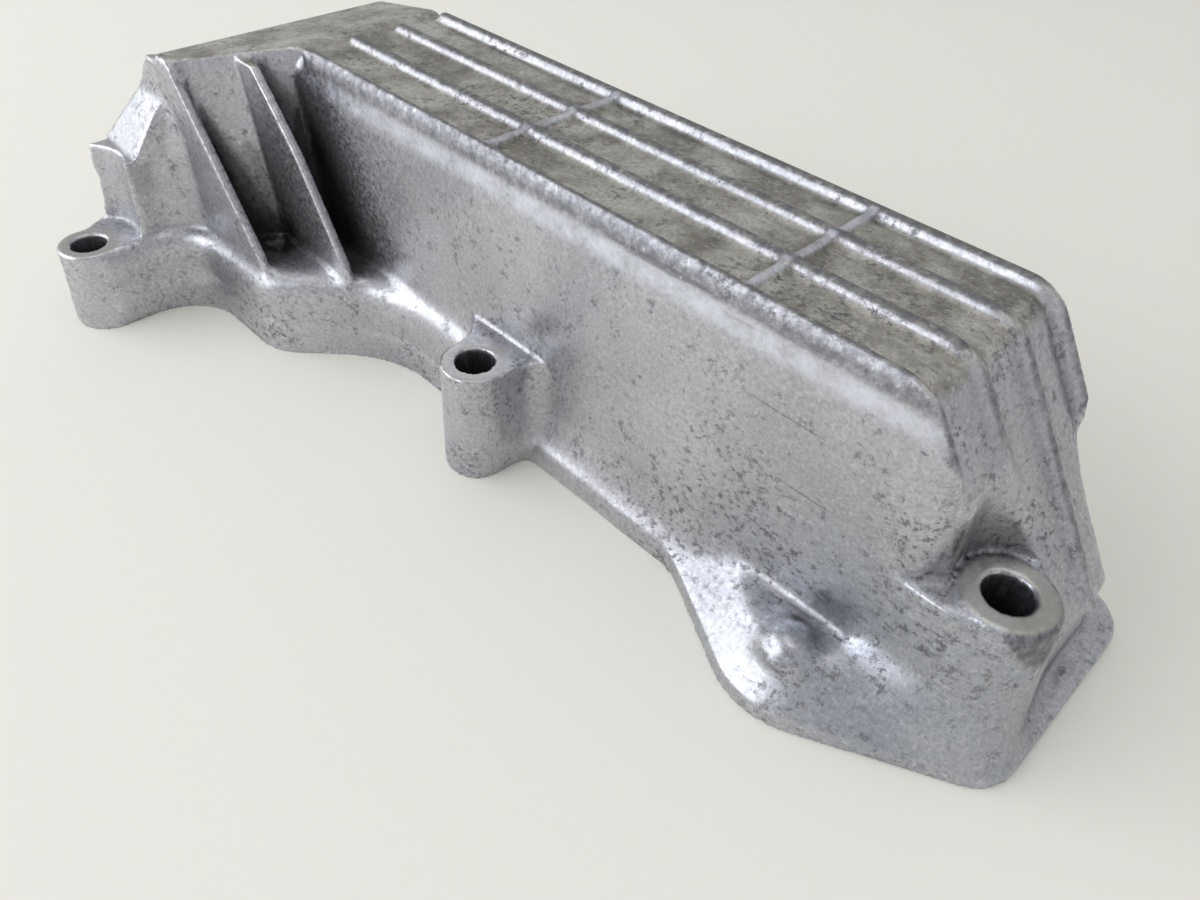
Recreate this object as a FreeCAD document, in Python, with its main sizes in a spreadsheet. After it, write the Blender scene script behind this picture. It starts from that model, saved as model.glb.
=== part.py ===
import FreeCAD, Part
import math
import os
import re
import Sketcher

# Engine side cover: one die-cast aluminium box with an open underside.
# X runs along the ribs, Y from the low bolt bosses to the back, Z up.
# The origin is the axis of the middle front bolt hole on the mating face.

SIZES = {
    # Bolt holes and bosses
    "bolt_hole_diameter": 9.0,
    "bolt_pitch": 114.3,
    "left_bolt_y": -39.0,
    "right_bolt_y": 21.6,
    "back_right_bolt_y": 59.3,
    "back_middle_bolt_y": 64.0,
    "back_left_bolt_y": 62.0,
    "boss_top_radius": 7.8,
    "boss_foot_radius": 9.3,
    "middle_foot_radius": 8.4,
    "left_boss_height": 21.5,
    "middle_boss_height": 28.6,
    "right_boss_height": 35.3,
    "ring_radius": 8.5,
    "ring_step": 1.0,
    "right_neck_radius": 9.2,
    "right_foot_radius": 13.4,
    # Mating flange and its rim
    "flange_right_x": 130.0,
    "flange_left_x": -146.0,
    "flange_front_y": 7.4,
    "flange_back_y": 62.0,
    "flange_bump_y": 68.6,
    "flange_height": 12.0,
    "bump_end_x": 101.0,
    "bump_root_x": 92.0,
    "left_corner_y": 3.0,
    "head_front_y": -15.7,
    "boss_flank_x": -104.9,
    "rim_height_right": 3.2,
    "rim_height_left": 11.0,
    "rim_inset": 0.5,
    # Lobe of the flange near the right corner
    "lobe_x": 87.0,
    "lobe_y": -10.4,
    "lobe_left_x": 54.9,
    "corner_front_y": 11.7,
    # Scallop between the head and the middle boss
    "scallop_right_x": -45.0,
    "scallop_left_x": -68.1,
    # Walls of the box, given where they would meet the mating face
    "wall_draft": 0.0175,
    "front_wall_y": 10.4,
    "back_wall_y": 57.6,
    "end_wall_x": 140.5,
    "end_wall_slope": 0.69,
    "left_wall_x": -157.0,
    "left_wall_slope": 0.725,
    "box_foot": 18.0,
    "roof_margin": 3.0,
    "wall_thickness": 3.5,
    "cut_length": 400.0,
    "cut_margin": 10.0,
    "fine_step": 0.1,
    # Ribbed panel on top
    "panel_height": 69.0,
    "rib_stand": 2.0,
    "rib_proud": 1.9,
    "rib_width": 3.0,
    "rib_crest_radius": 1.2,
    "first_rib_y": 13.5,
    "rib_pitch": 13.67,
    "rib_start_x": -78.0,
    "rib_end_height": 23.5,
    "bend_radius": 8.5,
    "shoulder_radius": 6.5,
    "corner_radius": 8.0,
    "cross_rib_x": -12.2,
    "cross_rib_pitch": 68.9,
    "cross_rib_width": 1.6,
    "cross_rib_stand": 1.3,
    # Plain plateau and head at the left end
    "crease_x": -83.0,
    "crease_run": 3.0,
    "crease_rise": 1.0,
    "plateau_slope": 0.17,
    "head_plane_y": -11.9,
    "head_plane_top_y": -13.0,
    "head_flank_y": -2.0,
    "head_flank_top_y": -11.6,
    "head_corner_x": -137.5,
    "head_corner_top_x": -103.6,
    "head_right_x": -90.2,
    "head_right_top_x": -101.0,
    "head_root_x": -71.1,
    "head_root_top_x": -83.2,
    "root_share": 0.72,
    # Slab below the head
    "slab_edge_radius": 5.0,
    "slab_height": 22.5,
    "slab_right_x": -16.0,
    # Gusset fins
    "fin_thickness": 2.5,
    "fin_top_height": 67.6,
    "first_fin_y": -11.3,
    "first_fin_back_x": -104.0,
    "first_fin_top_x": -99.0,
    "first_fin_toe_x": -69.0,
    "second_fin_y": 2.4,
    "second_fin_back_x": -94.5,
    "second_fin_top_x": -82.6,
    "second_fin_mid_x": -68.4,
    "second_fin_mid_height": 50.5,
    "second_fin_toe_x": -52.0,
    "second_fin_bend_radius": 30.0,
    # Right corner
    "shelf_height": 34.5,
    "recess_radius": 9.7,
    "recess_start_x": 84.0,
    "recess_front_x": 100.0,
    "recess_front_y": 10.85,
    "recess_rounding": 12.0,
    "recess_tangent_x": 106.0,
    "recess_tangent_y": 17.5,
    "recess_side_y": 31.3,
    "stem_right_x": 123.8,
    "corner_back_y": 22.0,
    "back_boss_height": 6.0,
    # Corner radii in plan
    "right_rounding": 11.0,
    "left_rounding": 15.0,
    "lobe_rounding": 20.0,
    "scallop_rounding": 34.0,
    "web_rounding": 7.0,
    # Feet of the walls
    "foot_height": 16.0,
    "foot_bend_height": 9.5,
    "foot_bend_y": 9.5,
    "lobe_foot_height": 13.0,
    "bump_x": 88.0,
    "bump_y": 3.0,
    "bump_radius": 7.0,
    "bump_top_radius": 3.4,
    "bump_height": 15.5,
    "corner_foot_height": 17.0,
    # Hollow
    "flange_land": 6.0,
    "hollow_shoulder": 19.0,
    "hollow_rounding": 6.0,
    "column_radius": 10.0,
    "vault_rise": 3.5,
    # Horn beside the left boss and the limb above it
    "horn_left_x": -124.4,
    "horn_right_x": -107.8,
    "horn_front_y": -34.0,
    "horn_height": 42.2,
    "left_recess_radius": 13.2,
    "left_recess_top_radius": 17.0,
    "limb_foot_height": 41.5,
    "limb_foot_y": -22.8,
    "limb_top_height": 57.0,
    "limb_top_y": -13.8,
    "limb_neck_height": 66.0,
}

# Heights that follow from the ones above
BOX_TOP = "(panel_height + roof_margin)"
RIB_TOP = "(panel_height + rib_stand)"
CREASE_TOP = "(panel_height + crease_rise)"
VAULT_FOOT = "(panel_height - wall_thickness - vault_rise)"
STEM_TOP = "((end_wall_x - stem_right_x) / end_wall_slope)"

doc = FreeCAD.newDocument("EngineSideCover")
sheet = doc.addObject("Spreadsheet::Sheet", "Sizes")
for row, (alias, value) in enumerate(SIZES.items(), start=1):
    sheet.set("A%d" % row, alias)
    sheet.set("B%d" % row, str(value))
    sheet.setAlias("B%d" % row, alias)
doc.recompute()


def bound(text):
    """Point the size names of an expression at the sheet."""
    return re.sub(r"[a-z][a-z_]+", lambda name: "Sizes." + name.group(0), text)


def new_body(label):
    body = doc.addObject("PartDesign::Body", label)
    body.Label = label
    return body


def new_sketch(body, name, role, offset="0"):
    """Attach a sketch to one of the body's own origin planes."""
    planes = {feature.Role: feature for feature in body.Origin.OriginFeatures}
    sketch = body.newObject("Sketcher::SketchObject", name)
    sketch.AttachmentSupport = (planes[role], [""])
    sketch.MapMode = "FlatFace"
    sketch.setExpression("AttachmentOffset.Base.z", bound(offset))
    return sketch


def pin(sketch, geometry, point, where):
    """Hold a point of the sketch at an X and a Y expression."""
    for kind, text in zip(("DistanceX", "DistanceY"), where):
        index = sketch.addConstraint(Sketcher.Constraint(kind, -1, 1, geometry, point, 1.0))
        sketch.setExpression("Constraints[%d]" % index, bound(text))


def outline(body, name, role, corners, offset="0"):
    """Closed outline of straight sides through the given corners."""
    sketch = new_sketch(body, name, role, offset)
    count = len(corners)
    turn = 2 * math.pi / count
    start = [FreeCAD.Vector(math.cos(turn * i), math.sin(turn * i), 0) for i in range(count)]
    for i in range(count):
        sketch.addGeometry(Part.LineSegment(start[i], start[(i + 1) % count]), False)
    for i in range(count):
        sketch.addConstraint(Sketcher.Constraint("Coincident", i, 2, (i + 1) % count, 1))
    for i, corner in enumerate(corners):
        pin(sketch, i, 1, corner)
    return sketch


def circle(body, name, centre, radius, offset="0"):
    """Circle in a plane parallel to the mating face."""
    sketch = new_sketch(body, name, "XY_Plane", offset)
    sketch.addGeometry(Part.Circle(FreeCAD.Vector(0, 0, 0), FreeCAD.Vector(0, 0, 1), 3), False)
    pin(sketch, 0, 3, centre)
    index = sketch.addConstraint(Sketcher.Constraint("Radius", 0, 3.0))
    sketch.setExpression("Constraints[%d]" % index, bound(radius))
    return sketch


def pad(body, name, sketch, length, middle=False):
    feature = body.newObject("PartDesign::Pad", name)
    feature.Profile = sketch
    feature.setExpression("Length", bound(length))
    feature.Midplane = middle
    return feature


def pocket(body, name, sketch, length, middle=False):
    feature = body.newObject("PartDesign::Pocket", name)
    feature.Profile = sketch
    feature.setExpression("Length", bound(length))
    feature.Midplane = middle
    return feature


def loft(body, name, lower, upper):
    feature = body.newObject("PartDesign::AdditiveLoft", name)
    feature.Profile = lower
    feature.Sections = [upper]
    feature.Ruled = True
    return feature


def edges_where(feature, test):
    """Names of the edges whose two ends pass the test."""
    doc.recompute()
    names = []
    for number, edge in enumerate(feature.Shape.Edges, start=1):
        ends = [vertex.Point for vertex in edge.Vertexes]
        if len(ends) == 2 and test(ends[0], ends[1]):
            names.append("Edge%d" % number)
    return names


def corner_of(sketch, number):
    """Position of a numbered corner of an outline within its plane."""
    place = sketch.getPoint(number, 1)
    return (place.x, place.y)


def fillet(body, name, base, names, radius):
    feature = body.newObject("PartDesign::Fillet", name)
    feature.Base = (base, names)
    feature.setExpression("Radius", bound(radius))
    return feature


def round_corners(body, tip, sketch, role, roundings):
    """Round the edges that stand on numbered corners of an outline."""
    doc.recompute()
    first, second = {"XY_Plane": ("x", "y"), "XZ_Plane": ("x", "z"), "YZ_Plane": ("y", "z")}[role]
    for radius, corners in roundings:
        places = [corner_of(sketch, corner) for corner in corners]

        def on_corner(start, end):
            for place in places:
                near = math.hypot(getattr(start, first) - place[0], getattr(start, second) - place[1]) < 0.1
                same = math.hypot(getattr(end, first) - place[0], getattr(end, second) - place[1]) < 0.1
                if near and same:
                    return True
            return False
        names = edges_where(tip, on_corner)
        tip = fillet(body, body.Name + "Rounding" + str(corners[0]), tip, names, radius)
    doc.recompute()
    return tip


def prism(label, role, corners, length, roundings=(), offset="0", middle=False):
    """Body with one straight-sided outline pushed out and its corners rounded."""
    body = new_body(label)
    sketch = outline(body, label + "_outline", role, corners, offset)
    tip = pad(body, label + "_pad", sketch, length, middle)
    return body, round_corners(body, tip, sketch, role, roundings)


def taper(label, lower, upper, bottom, top):
    """Body between two outlines with the same number of corners."""
    body = new_body(label)
    first = outline(body, label + "_lower", "XY_Plane", lower, bottom)
    second = outline(body, label + "_upper", "XY_Plane", upper, top)
    return body, loft(body, label + "_loft", first, second)


def column(label, centre, foot_radius, top_radius, height, bottom="0"):
    """Round column that narrows towards its top."""
    body = new_body(label)
    lower = circle(body, label + "_foot", centre, foot_radius, bottom)
    upper = circle(body, label + "_top", centre, top_radius, height)
    return body, loft(body, label + "_loft", lower, upper)


solids = []

# Flange with its scalloped front edge
FLANGE = [
    ("flange_right_x", "corner_front_y"),
    ("flange_right_x", "flange_bump_y"),
    ("bump_end_x", "flange_bump_y"),
    ("bump_root_x", "flange_back_y"),
    ("flange_left_x", "flange_back_y"),
    ("flange_left_x", "left_corner_y"),
    ("-bolt_pitch - 8.3", "left_bolt_y - 1.4"),
    ("boss_flank_x", "left_bolt_y - 1"),
    ("boss_flank_x", "head_front_y"),
    ("scallop_left_x", "head_front_y"),
    ("scallop_right_x", "flange_front_y"),
    ("lobe_left_x", "flange_front_y"),
    ("lobe_x", "lobe_y"),
]
FLANGE_ROUNDINGS = [
    ("right_rounding", [0, 1, 2, 3]),
    ("left_rounding", [4, 8, 9]),
    ("lobe_rounding", [5, 11, 12]),
    ("scallop_rounding", [10]),
]
flange, tip = prism("flange_form", "XY_Plane", FLANGE, "flange_height", FLANGE_ROUNDINGS)
# The rim's upper edge climbs from right to left
RIM_CUT = [
    ("flange_right_x + 5", "rim_height_right"),
    ("flange_left_x - 5", "rim_height_left"),
    ("flange_left_x - 5", "flange_height + 5"),
    ("flange_right_x + 5", "flange_height + 5"),
]
rim_sketch = outline(flange, "rim_slope", "XZ_Plane", RIM_CUT)
pocket(flange, "rim_cut", rim_sketch, "cut_length", middle=True)
solids.append(flange)

# Slab that carries the head, a little inside the rim
SLAB = [
    ("slab_right_x", "flange_front_y + rim_inset"),
    ("slab_right_x", "flange_back_y - rim_inset"),
    ("flange_left_x + rim_inset", "flange_back_y - rim_inset"),
    ("flange_left_x + rim_inset", "left_corner_y"),
    ("-bolt_pitch - 7.5", "left_bolt_y - 1.4"),
    ("boss_flank_x - rim_inset", "left_bolt_y - 1"),
    ("boss_flank_x - rim_inset", "head_front_y + rim_inset"),
    ("scallop_left_x - rim_inset / 2", "head_front_y + rim_inset"),
    ("scallop_right_x", "flange_front_y + rim_inset"),
]
SLAB_ROUNDINGS = [
    ("left_rounding - rim_inset", [2, 6, 7]),
    ("lobe_rounding", [3]),
    ("scallop_rounding + rim_inset", [8]),
]
slab, tip = prism("slab_form", "XY_Plane", SLAB, "slab_height", SLAB_ROUNDINGS)
slab_top = SIZES["slab_height"] - SIZES["fine_step"]
slab_right = SIZES["slab_right_x"] - SIZES["fine_step"]
slab_back = SIZES["flange_back_y"] - 2


def on_slab_edge(start, end):
    """Tell whether an edge runs round the slab's top, not along its back or its right end."""
    on_top = min(start.z, end.z) > slab_top
    return on_top and min(start.x, end.x) < slab_right and max(start.y, end.y) < slab_back


names = edges_where(tip, on_slab_edge)
fillet(slab, "slab_edge", tip, names, "slab_edge_radius")
solids.append(slab)

# Boss columns, each with its axis, its foot radius, its top radius and its height
FRONT_MIDDLE = ("0", "0")
FRONT_LEFT = ("-bolt_pitch", "left_bolt_y")
FRONT_RIGHT = ("bolt_pitch", "right_bolt_y")
BACK_RIGHT = ("bolt_pitch", "back_right_bolt_y")
BACK_MIDDLE = ("0", "back_middle_bolt_y")
BACK_LEFT = ("-bolt_pitch", "back_left_bolt_y")
BOSSES = [
    ("middle_boss", FRONT_MIDDLE, "middle_foot_radius", "boss_top_radius", "middle_boss_height"),
    ("left_boss", FRONT_LEFT, "boss_foot_radius", "boss_top_radius", "left_boss_height"),
    ("right_boss", FRONT_RIGHT, "right_foot_radius", "right_neck_radius", "shelf_height"),
    ("back_right_boss", BACK_RIGHT, "boss_foot_radius", "boss_top_radius", "back_boss_height"),
    ("back_middle_boss", BACK_MIDDLE, "middle_foot_radius", "boss_top_radius", "middle_boss_height"),
    ("back_left_boss", BACK_LEFT, "boss_foot_radius", "boss_top_radius", "left_boss_height"),
]
for label, centre, foot, top, height in BOSSES:
    solids.append(column(label, centre, foot, top, height)[0])

# Web that ties the middle boss to the wall
WEB = [
    ("-boss_top_radius", "0"),
    ("-boss_top_radius - 0.6", "5"),
    ("-2 * boss_top_radius", "12.5"),
    ("-2 * boss_top_radius", "front_wall_y + wall_thickness"),
    ("2 * boss_top_radius + 2", "front_wall_y + wall_thickness"),
    ("2 * boss_top_radius + 2", "13.6"),
    ("boss_top_radius + 1", "9.5"),
    ("boss_top_radius + 0.2", "0"),
]
web, tip = prism("web_form", "XY_Plane", WEB, "middle_boss_height", [("web_rounding", [1, 6])])
solids.append(web)

# Ribbed box with rounded shoulders
def wall_x(side, height, inset="0"):
    """X of the sloping end wall or left wall at a height."""
    if side == "end":
        return "end_wall_x - 1.25 * %s - end_wall_slope * %s" % (inset, height)
    return "left_wall_x + 1.25 * %s + left_wall_slope * %s" % (inset, height)


def wall_y(side, height, inset="0"):
    """Y of the drafted front or back wall at a height."""
    if side == "front":
        return "front_wall_y + wall_draft * %s + %s" % (height, inset)
    return "back_wall_y - wall_draft * %s - %s" % (height, inset)


PANEL = [
    ("crease_x - crease_run", "box_foot"),
    ("stem_right_x - 2 * right_rounding", "box_foot"),
    ("stem_right_x", STEM_TOP),
    (wall_x("end", "panel_height"), "panel_height"),
    ("crease_x - crease_run", "panel_height"),
]
PANEL_MIDDLE = "-(front_wall_y + back_wall_y) / 2"
box, tip = prism("panel_box", "XZ_Plane", PANEL, "back_wall_y - front_wall_y", [], PANEL_MIDDLE, True)
FRONT_DRAFT = [
    ("front_wall_y - 1", "0"),
    ("front_wall_y", "0"),
    (wall_y("front", BOX_TOP), BOX_TOP),
    ("front_wall_y - 1", BOX_TOP),
]
BACK_DRAFT = [
    ("back_wall_y", "0"),
    ("back_wall_y + 1", "0"),
    ("back_wall_y + 1", BOX_TOP),
    (wall_y("back", BOX_TOP), BOX_TOP),
]
front_sketch = outline(box, "front_draft_line", "YZ_Plane", FRONT_DRAFT)
tip = pocket(box, "front_draft", front_sketch, "cut_length", middle=True)
back_sketch = outline(box, "back_draft_line", "YZ_Plane", BACK_DRAFT)
tip = pocket(box, "back_draft", back_sketch, "cut_length", middle=True)
doc.recompute()
middle_x = SIZES["slab_right_x"]
tall = SIZES["box_foot"] + 1
names = edges_where(tip, lambda start, end: min(start.x, end.x) > middle_x and abs(start.z - end.z) > tall)
tip = fillet(box, "end_corner", tip, names, "corner_radius")
half_way = SIZES["panel_height"] / 2
names = edges_where(tip, lambda start, end: min(start.z, end.z) > half_way and max(start.x, end.x) > middle_x)
tip = fillet(box, "shoulder", tip, names, "shoulder_radius")
solids.append(box)

# Head at the left end, cut by its sloping roof
HEAD_LOWER = [
    (wall_x("left", "box_foot"), "head_flank_y"),
    ("head_corner_x", "head_plane_y - 1"),
    ("head_right_x", "head_plane_y"),
    ("head_root_x + root_share * shoulder_radius", wall_y("front", "box_foot", "shoulder_radius")),
    ("head_root_x + root_share * shoulder_radius", wall_y("back", "box_foot")),
    (wall_x("left", "box_foot"), wall_y("back", "box_foot")),
]
HEAD_UPPER = [
    (wall_x("left", BOX_TOP), "head_flank_top_y"),
    ("head_corner_top_x", "head_plane_top_y"),
    ("head_right_top_x", "head_plane_top_y"),
    ("head_root_top_x + root_share * shoulder_radius", wall_y("front", BOX_TOP, "shoulder_radius")),
    ("head_root_top_x + root_share * shoulder_radius", wall_y("back", BOX_TOP)),
    (wall_x("left", BOX_TOP), wall_y("back", BOX_TOP)),
]
head, tip = taper("head_form", HEAD_LOWER, HEAD_UPPER, "box_foot", BOX_TOP)
ROOF_CUT = [
    ("crease_x", CREASE_TOP),
    ("crease_x + crease_run", "panel_height"),
    ("end_wall_x", "panel_height"),
    ("end_wall_x", BOX_TOP + " + cut_margin"),
    ("left_wall_x", BOX_TOP + " + cut_margin"),
    ("left_wall_x", CREASE_TOP + " + plateau_slope * (left_wall_x - crease_x)"),
]
roof_sketch = outline(head, "roof_line", "XZ_Plane", ROOF_CUT)
tip = pocket(head, "roof_cut", roof_sketch, "cut_length", middle=True)
solids.append(head)

# Long ribs that run over the panel and down the end wall
def rib_outline(end_height):
    """Side view of a long rib that ends at a height of the end wall."""
    return [
        ("rib_start_x", "panel_height - cut_margin"),
        ("rib_start_x", RIB_TOP),
        ("rib_proud + " + wall_x("end", RIB_TOP), RIB_TOP),
        ("rib_proud + " + wall_x("end", end_height), end_height),
        ("-2 * cut_margin + " + wall_x("end", end_height), end_height),
        ("-2 * cut_margin + " + wall_x("end", RIB_TOP), "panel_height - cut_margin"),
    ]


RIB_ENDS = ["shelf_height", "shelf_height", "rib_end_height", "rib_end_height"]
rib_top = SIZES["panel_height"] + SIZES["rib_stand"]
rib_slope = SIZES["end_wall_slope"]
rib_face = SIZES["end_wall_x"] + SIZES["rib_proud"]


def on_crest(point):
    """Tell whether a point lies on the outer side of a long rib."""
    over = abs(point.z - rib_top)
    before = abs(point.x + rib_slope * point.z - rib_face)
    return min(over, before) < SIZES["fine_step"]


def along_crest(start, end):
    """Tell whether an edge runs lengthwise along a long rib's crest."""
    return on_crest(start) and on_crest(end) and abs(start.y - end.y) < SIZES["rib_width"] / 6


for number, end_height in enumerate(RIB_ENDS):
    label = "long_rib_%d" % (number + 1)
    place = "-(first_rib_y + %d * rib_pitch)" % number
    bend = [("bend_radius + rib_proud", [2])]
    rib, tip = prism(label, "XZ_Plane", rib_outline(end_height), "rib_width", bend, place, True)
    names = edges_where(tip, along_crest)
    fillet(rib, label + "_crest", tip, names, "rib_crest_radius")
    solids.append(rib)

# Thin ribs across the panel
for number in range(2):
    label = "cross_rib_%d" % (number + 1)
    centre = "cross_rib_x + %d * cross_rib_pitch" % number
    last_rib = "first_rib_y + %d * rib_pitch" % (len(RIB_ENDS) - 1)
    CROSS = [
        (centre + " - cross_rib_width / 2", "first_rib_y"),
        (centre + " + cross_rib_width / 2", "first_rib_y"),
        (centre + " + cross_rib_width / 2", last_rib),
        (centre + " - cross_rib_width / 2", last_rib),
    ]
    rib, tip = prism(label, "XY_Plane", CROSS, "cross_rib_stand + 1", [], "panel_height - 1")
    solids.append(rib)

# Gusset fins between the head and the slab
FIRST_FIN = [
    ("first_fin_back_x", "slab_height - 2"),
    ("first_fin_back_x", "fin_top_height"),
    ("first_fin_top_x", "fin_top_height"),
    ("first_fin_toe_x", "slab_height"),
    ("first_fin_toe_x", "slab_height - 2"),
]
SECOND_FIN = [
    ("second_fin_back_x", "slab_height - 2"),
    ("second_fin_back_x", "fin_top_height"),
    ("second_fin_top_x", "fin_top_height"),
    ("second_fin_mid_x", "second_fin_mid_height"),
    ("second_fin_toe_x", "slab_height"),
    ("second_fin_toe_x", "slab_height - 2"),
]
fin, tip = prism("first_fin", "XZ_Plane", FIRST_FIN, "fin_thickness", [], "-first_fin_y", True)
solids.append(fin)
SECOND_ROUNDINGS = [("second_fin_bend_radius", [3])]
fin, tip = prism("second_fin", "XZ_Plane", SECOND_FIN, "fin_thickness", SECOND_ROUNDINGS, "-second_fin_y", True)
solids.append(fin)

# Horn beside the left boss, with the limb that slopes up to the head
HORN = [
    ("horn_left_x", "horn_front_y"),
    ("horn_right_x", "horn_front_y"),
    ("horn_right_x + 1", "limb_foot_y + 2.5"),
    ("horn_right_x + 4.5", "head_plane_y - 3.5"),
    ("horn_right_x + 11", "head_plane_y + 0.5"),
    ("horn_left_x", "head_plane_y + 0.5"),
]
horn, tip = prism("horn_form", "XY_Plane", HORN, "horn_height - box_foot", [], "box_foot")
solids.append(horn)
LIMB_LOWER = [
    (wall_x("left", "limb_foot_height"), "limb_foot_y"),
    ("horn_right_x + 0.6", "limb_foot_y - 1"),
    ("horn_right_x + 3", "limb_foot_y + 6"),
    ("horn_right_x + 11", "head_plane_y + 0.5"),
    (wall_x("left", "limb_foot_height"), "head_plane_y + 0.5"),
]
LIMB_UPPER = [
    (wall_x("left", "limb_top_height"), "limb_top_y"),
    ("horn_right_x + 3", "limb_top_y"),
    ("horn_right_x + 5", "limb_top_y + 1"),
    ("horn_right_x + 11", "head_plane_y + 0.5"),
    (wall_x("left", "limb_top_height"), "head_plane_y + 0.5"),
]
limb, tip = taper("limb_form", LIMB_LOWER, LIMB_UPPER, "limb_foot_height", "limb_top_height")
solids.append(limb)
NECK_UPPER = [
    (wall_x("left", "limb_neck_height"), "head_plane_top_y + 0.2"),
    ("horn_right_x + 4", "head_plane_top_y + 0.2"),
    ("horn_right_x + 6", "head_plane_top_y + 0.3"),
    ("horn_right_x + 11", "head_plane_y + 0.5"),
    (wall_x("left", "limb_neck_height"), "head_plane_y + 0.5"),
]
neck, tip = taper("neck_form", LIMB_UPPER, NECK_UPPER, "limb_top_height", "limb_neck_height")
solids.append(neck)

# Straight lower part of the walls, down to the mating face
STEM = [
    ("slab_right_x - 2", "front_wall_y + 0.5"),
    ("stem_right_x", "front_wall_y + 0.5"),
    ("stem_right_x", "back_wall_y - 0.2"),
    ("slab_right_x - 2", "back_wall_y - 0.2"),
]
stem, tip = prism("stem_form", "XY_Plane", STEM, STEM_TOP + " + 0.3", [("right_rounding", [1])])
solids.append(stem)

# Foot of the front wall on the rim
FOOT = [
    ("front_wall_y + wall_thickness / 2", "1"),
    ("flange_front_y + rim_inset", "1"),
    ("flange_front_y + rim_inset", "rim_height_right + 3"),
    ("foot_bend_y", "foot_bend_height"),
    ("front_wall_y + wall_draft * foot_height", "foot_height"),
    ("front_wall_y + wall_thickness / 2", "foot_height"),
]
foot = new_body("foot_form")
foot_sketch = outline(foot, "foot_outline", "YZ_Plane", FOOT, "slab_right_x - 2")
pad(foot, "foot_pad", foot_sketch, "lobe_left_x - slab_right_x + 20")
solids.append(foot)

# Lobe that swells out of the wall near the right corner
LOBE_LOWER = [
    ("lobe_left_x + 1", "flange_front_y + rim_inset"),
    ("lobe_x - 15.9", "lobe_y + 9.2"),
    ("lobe_x - 7.4", "lobe_y + 4.8"),
    ("lobe_x - 1", "lobe_y + 3.3"),
    ("lobe_x + 6", "lobe_y + 3.9"),
    ("lobe_x + 13.4", "lobe_y + 7.3"),
    ("lobe_x + 20", "lobe_y + 10.9"),
    ("lobe_x + 20", "front_wall_y + wall_thickness"),
    ("lobe_left_x + 1", "front_wall_y + wall_thickness"),
]
LOBE_UPPER = [
    ("lobe_x - 19", "front_wall_y + 0.1"),
    ("lobe_x - 13", "lobe_y + 17"),
    ("lobe_x - 7.5", "lobe_y + 13"),
    ("lobe_x - 1", "lobe_y + 11"),
    ("lobe_x + 6", "lobe_y + 12"),
    ("lobe_x + 12", "lobe_y + 16"),
    ("lobe_x + 17", "front_wall_y + 0.1"),
    ("lobe_x + 17", "front_wall_y + wall_thickness"),
    ("lobe_x - 19", "front_wall_y + wall_thickness"),
]
lobe, tip = taper("lobe_form", LOBE_LOWER, LOBE_UPPER, "rim_height_right + 1.2", "lobe_foot_height")
solids.append(lobe)
lobe, tip = prism("lobe_base", "XY_Plane", LOBE_LOWER, "rim_height_right + 1.2")
solids.append(lobe)
BUMP = ("bump_x", "bump_y")
bump, tip = column("lobe_bump", BUMP, "bump_radius", "bump_top_radius", "bump_height", "lobe_foot_height - 2")
solids.append(bump)

# Foot of the corner between the lobe and the right end
CORNER_LOWER = [
    ("lobe_x + 9", "lobe_y + 5.5"),
    ("lobe_x + 26", "lobe_y + 14.2"),
    ("lobe_x + 34.5", "lobe_y + 18.4"),
    ("flange_right_x - 4", "corner_front_y - 0.6"),
    ("flange_right_x - 1.5", "corner_front_y + 3.8"),
    ("flange_right_x - 1.6", "corner_back_y - 1"),
    ("flange_right_x - 4", "corner_back_y + 6"),
    ("stem_right_x + 0.2", "corner_back_y + 14"),
    ("lobe_x + 9", "corner_back_y + 14"),
]
CORNER_UPPER = [
    ("lobe_x + 9", "front_wall_y + 0.3"),
    ("lobe_x + 26", "front_wall_y + 0.3"),
    ("stem_right_x - 6.8", "front_wall_y + 1"),
    ("stem_right_x - 3.3", "front_wall_y + 2.8"),
    ("stem_right_x - 1.2", "corner_back_y - 5.5"),
    ("stem_right_x - 0.4", "corner_back_y"),
    ("stem_right_x - 0.1", "corner_back_y + 6"),
    ("stem_right_x - 0.1", "corner_back_y + 14"),
    ("lobe_x + 9", "corner_back_y + 14"),
]
corner, tip = taper("corner_form", CORNER_LOWER, CORNER_UPPER, "rim_height_right + 0.4", "corner_foot_height")
solids.append(corner)

cover = doc.addObject("Part::MultiFuse", "solid_cover")
cover.Shapes = solids
doc.recompute()

# Recesses over the bosses at the right end and beside the left boss
cutters = []
RIGHT_WEDGE = [
    ("recess_start_x", "0"),
    ("flange_right_x + cut_margin", "0"),
    ("flange_right_x + cut_margin", "recess_side_y"),
    ("bolt_pitch", "recess_side_y"),
    ("recess_tangent_x", "recess_tangent_y"),
    ("recess_front_x", "recess_front_y"),
    ("recess_start_x", "recess_front_y"),
]
WEDGE_ROUNDINGS = [("recess_rounding", [5])]
BACK_WEDGE = [
    ("bolt_pitch - recess_radius", "back_right_bolt_y"),
    ("bolt_pitch", "back_right_bolt_y - recess_radius"),
    ("flange_right_x + cut_margin", "back_right_bolt_y - recess_radius"),
    ("flange_right_x + cut_margin", "flange_bump_y + cut_margin"),
    ("bolt_pitch - recess_radius", "flange_bump_y + cut_margin"),
]
cutters.append(prism("right_wedge", "XY_Plane", RIGHT_WEDGE, BOX_TOP, WEDGE_ROUNDINGS, "shelf_height")[0])
cutters.append(prism("back_wedge", "XY_Plane", BACK_WEDGE, BOX_TOP, [], "back_boss_height")[0])
RECESSES = [
    ("right_recess", FRONT_RIGHT, "recess_radius", "recess_radius", "shelf_height"),
    ("back_recess", BACK_RIGHT, "recess_radius", "recess_radius", "back_boss_height"),
    ("left_recess", FRONT_LEFT, "left_recess_radius", "left_recess_top_radius", "left_boss_height"),
]
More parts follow.
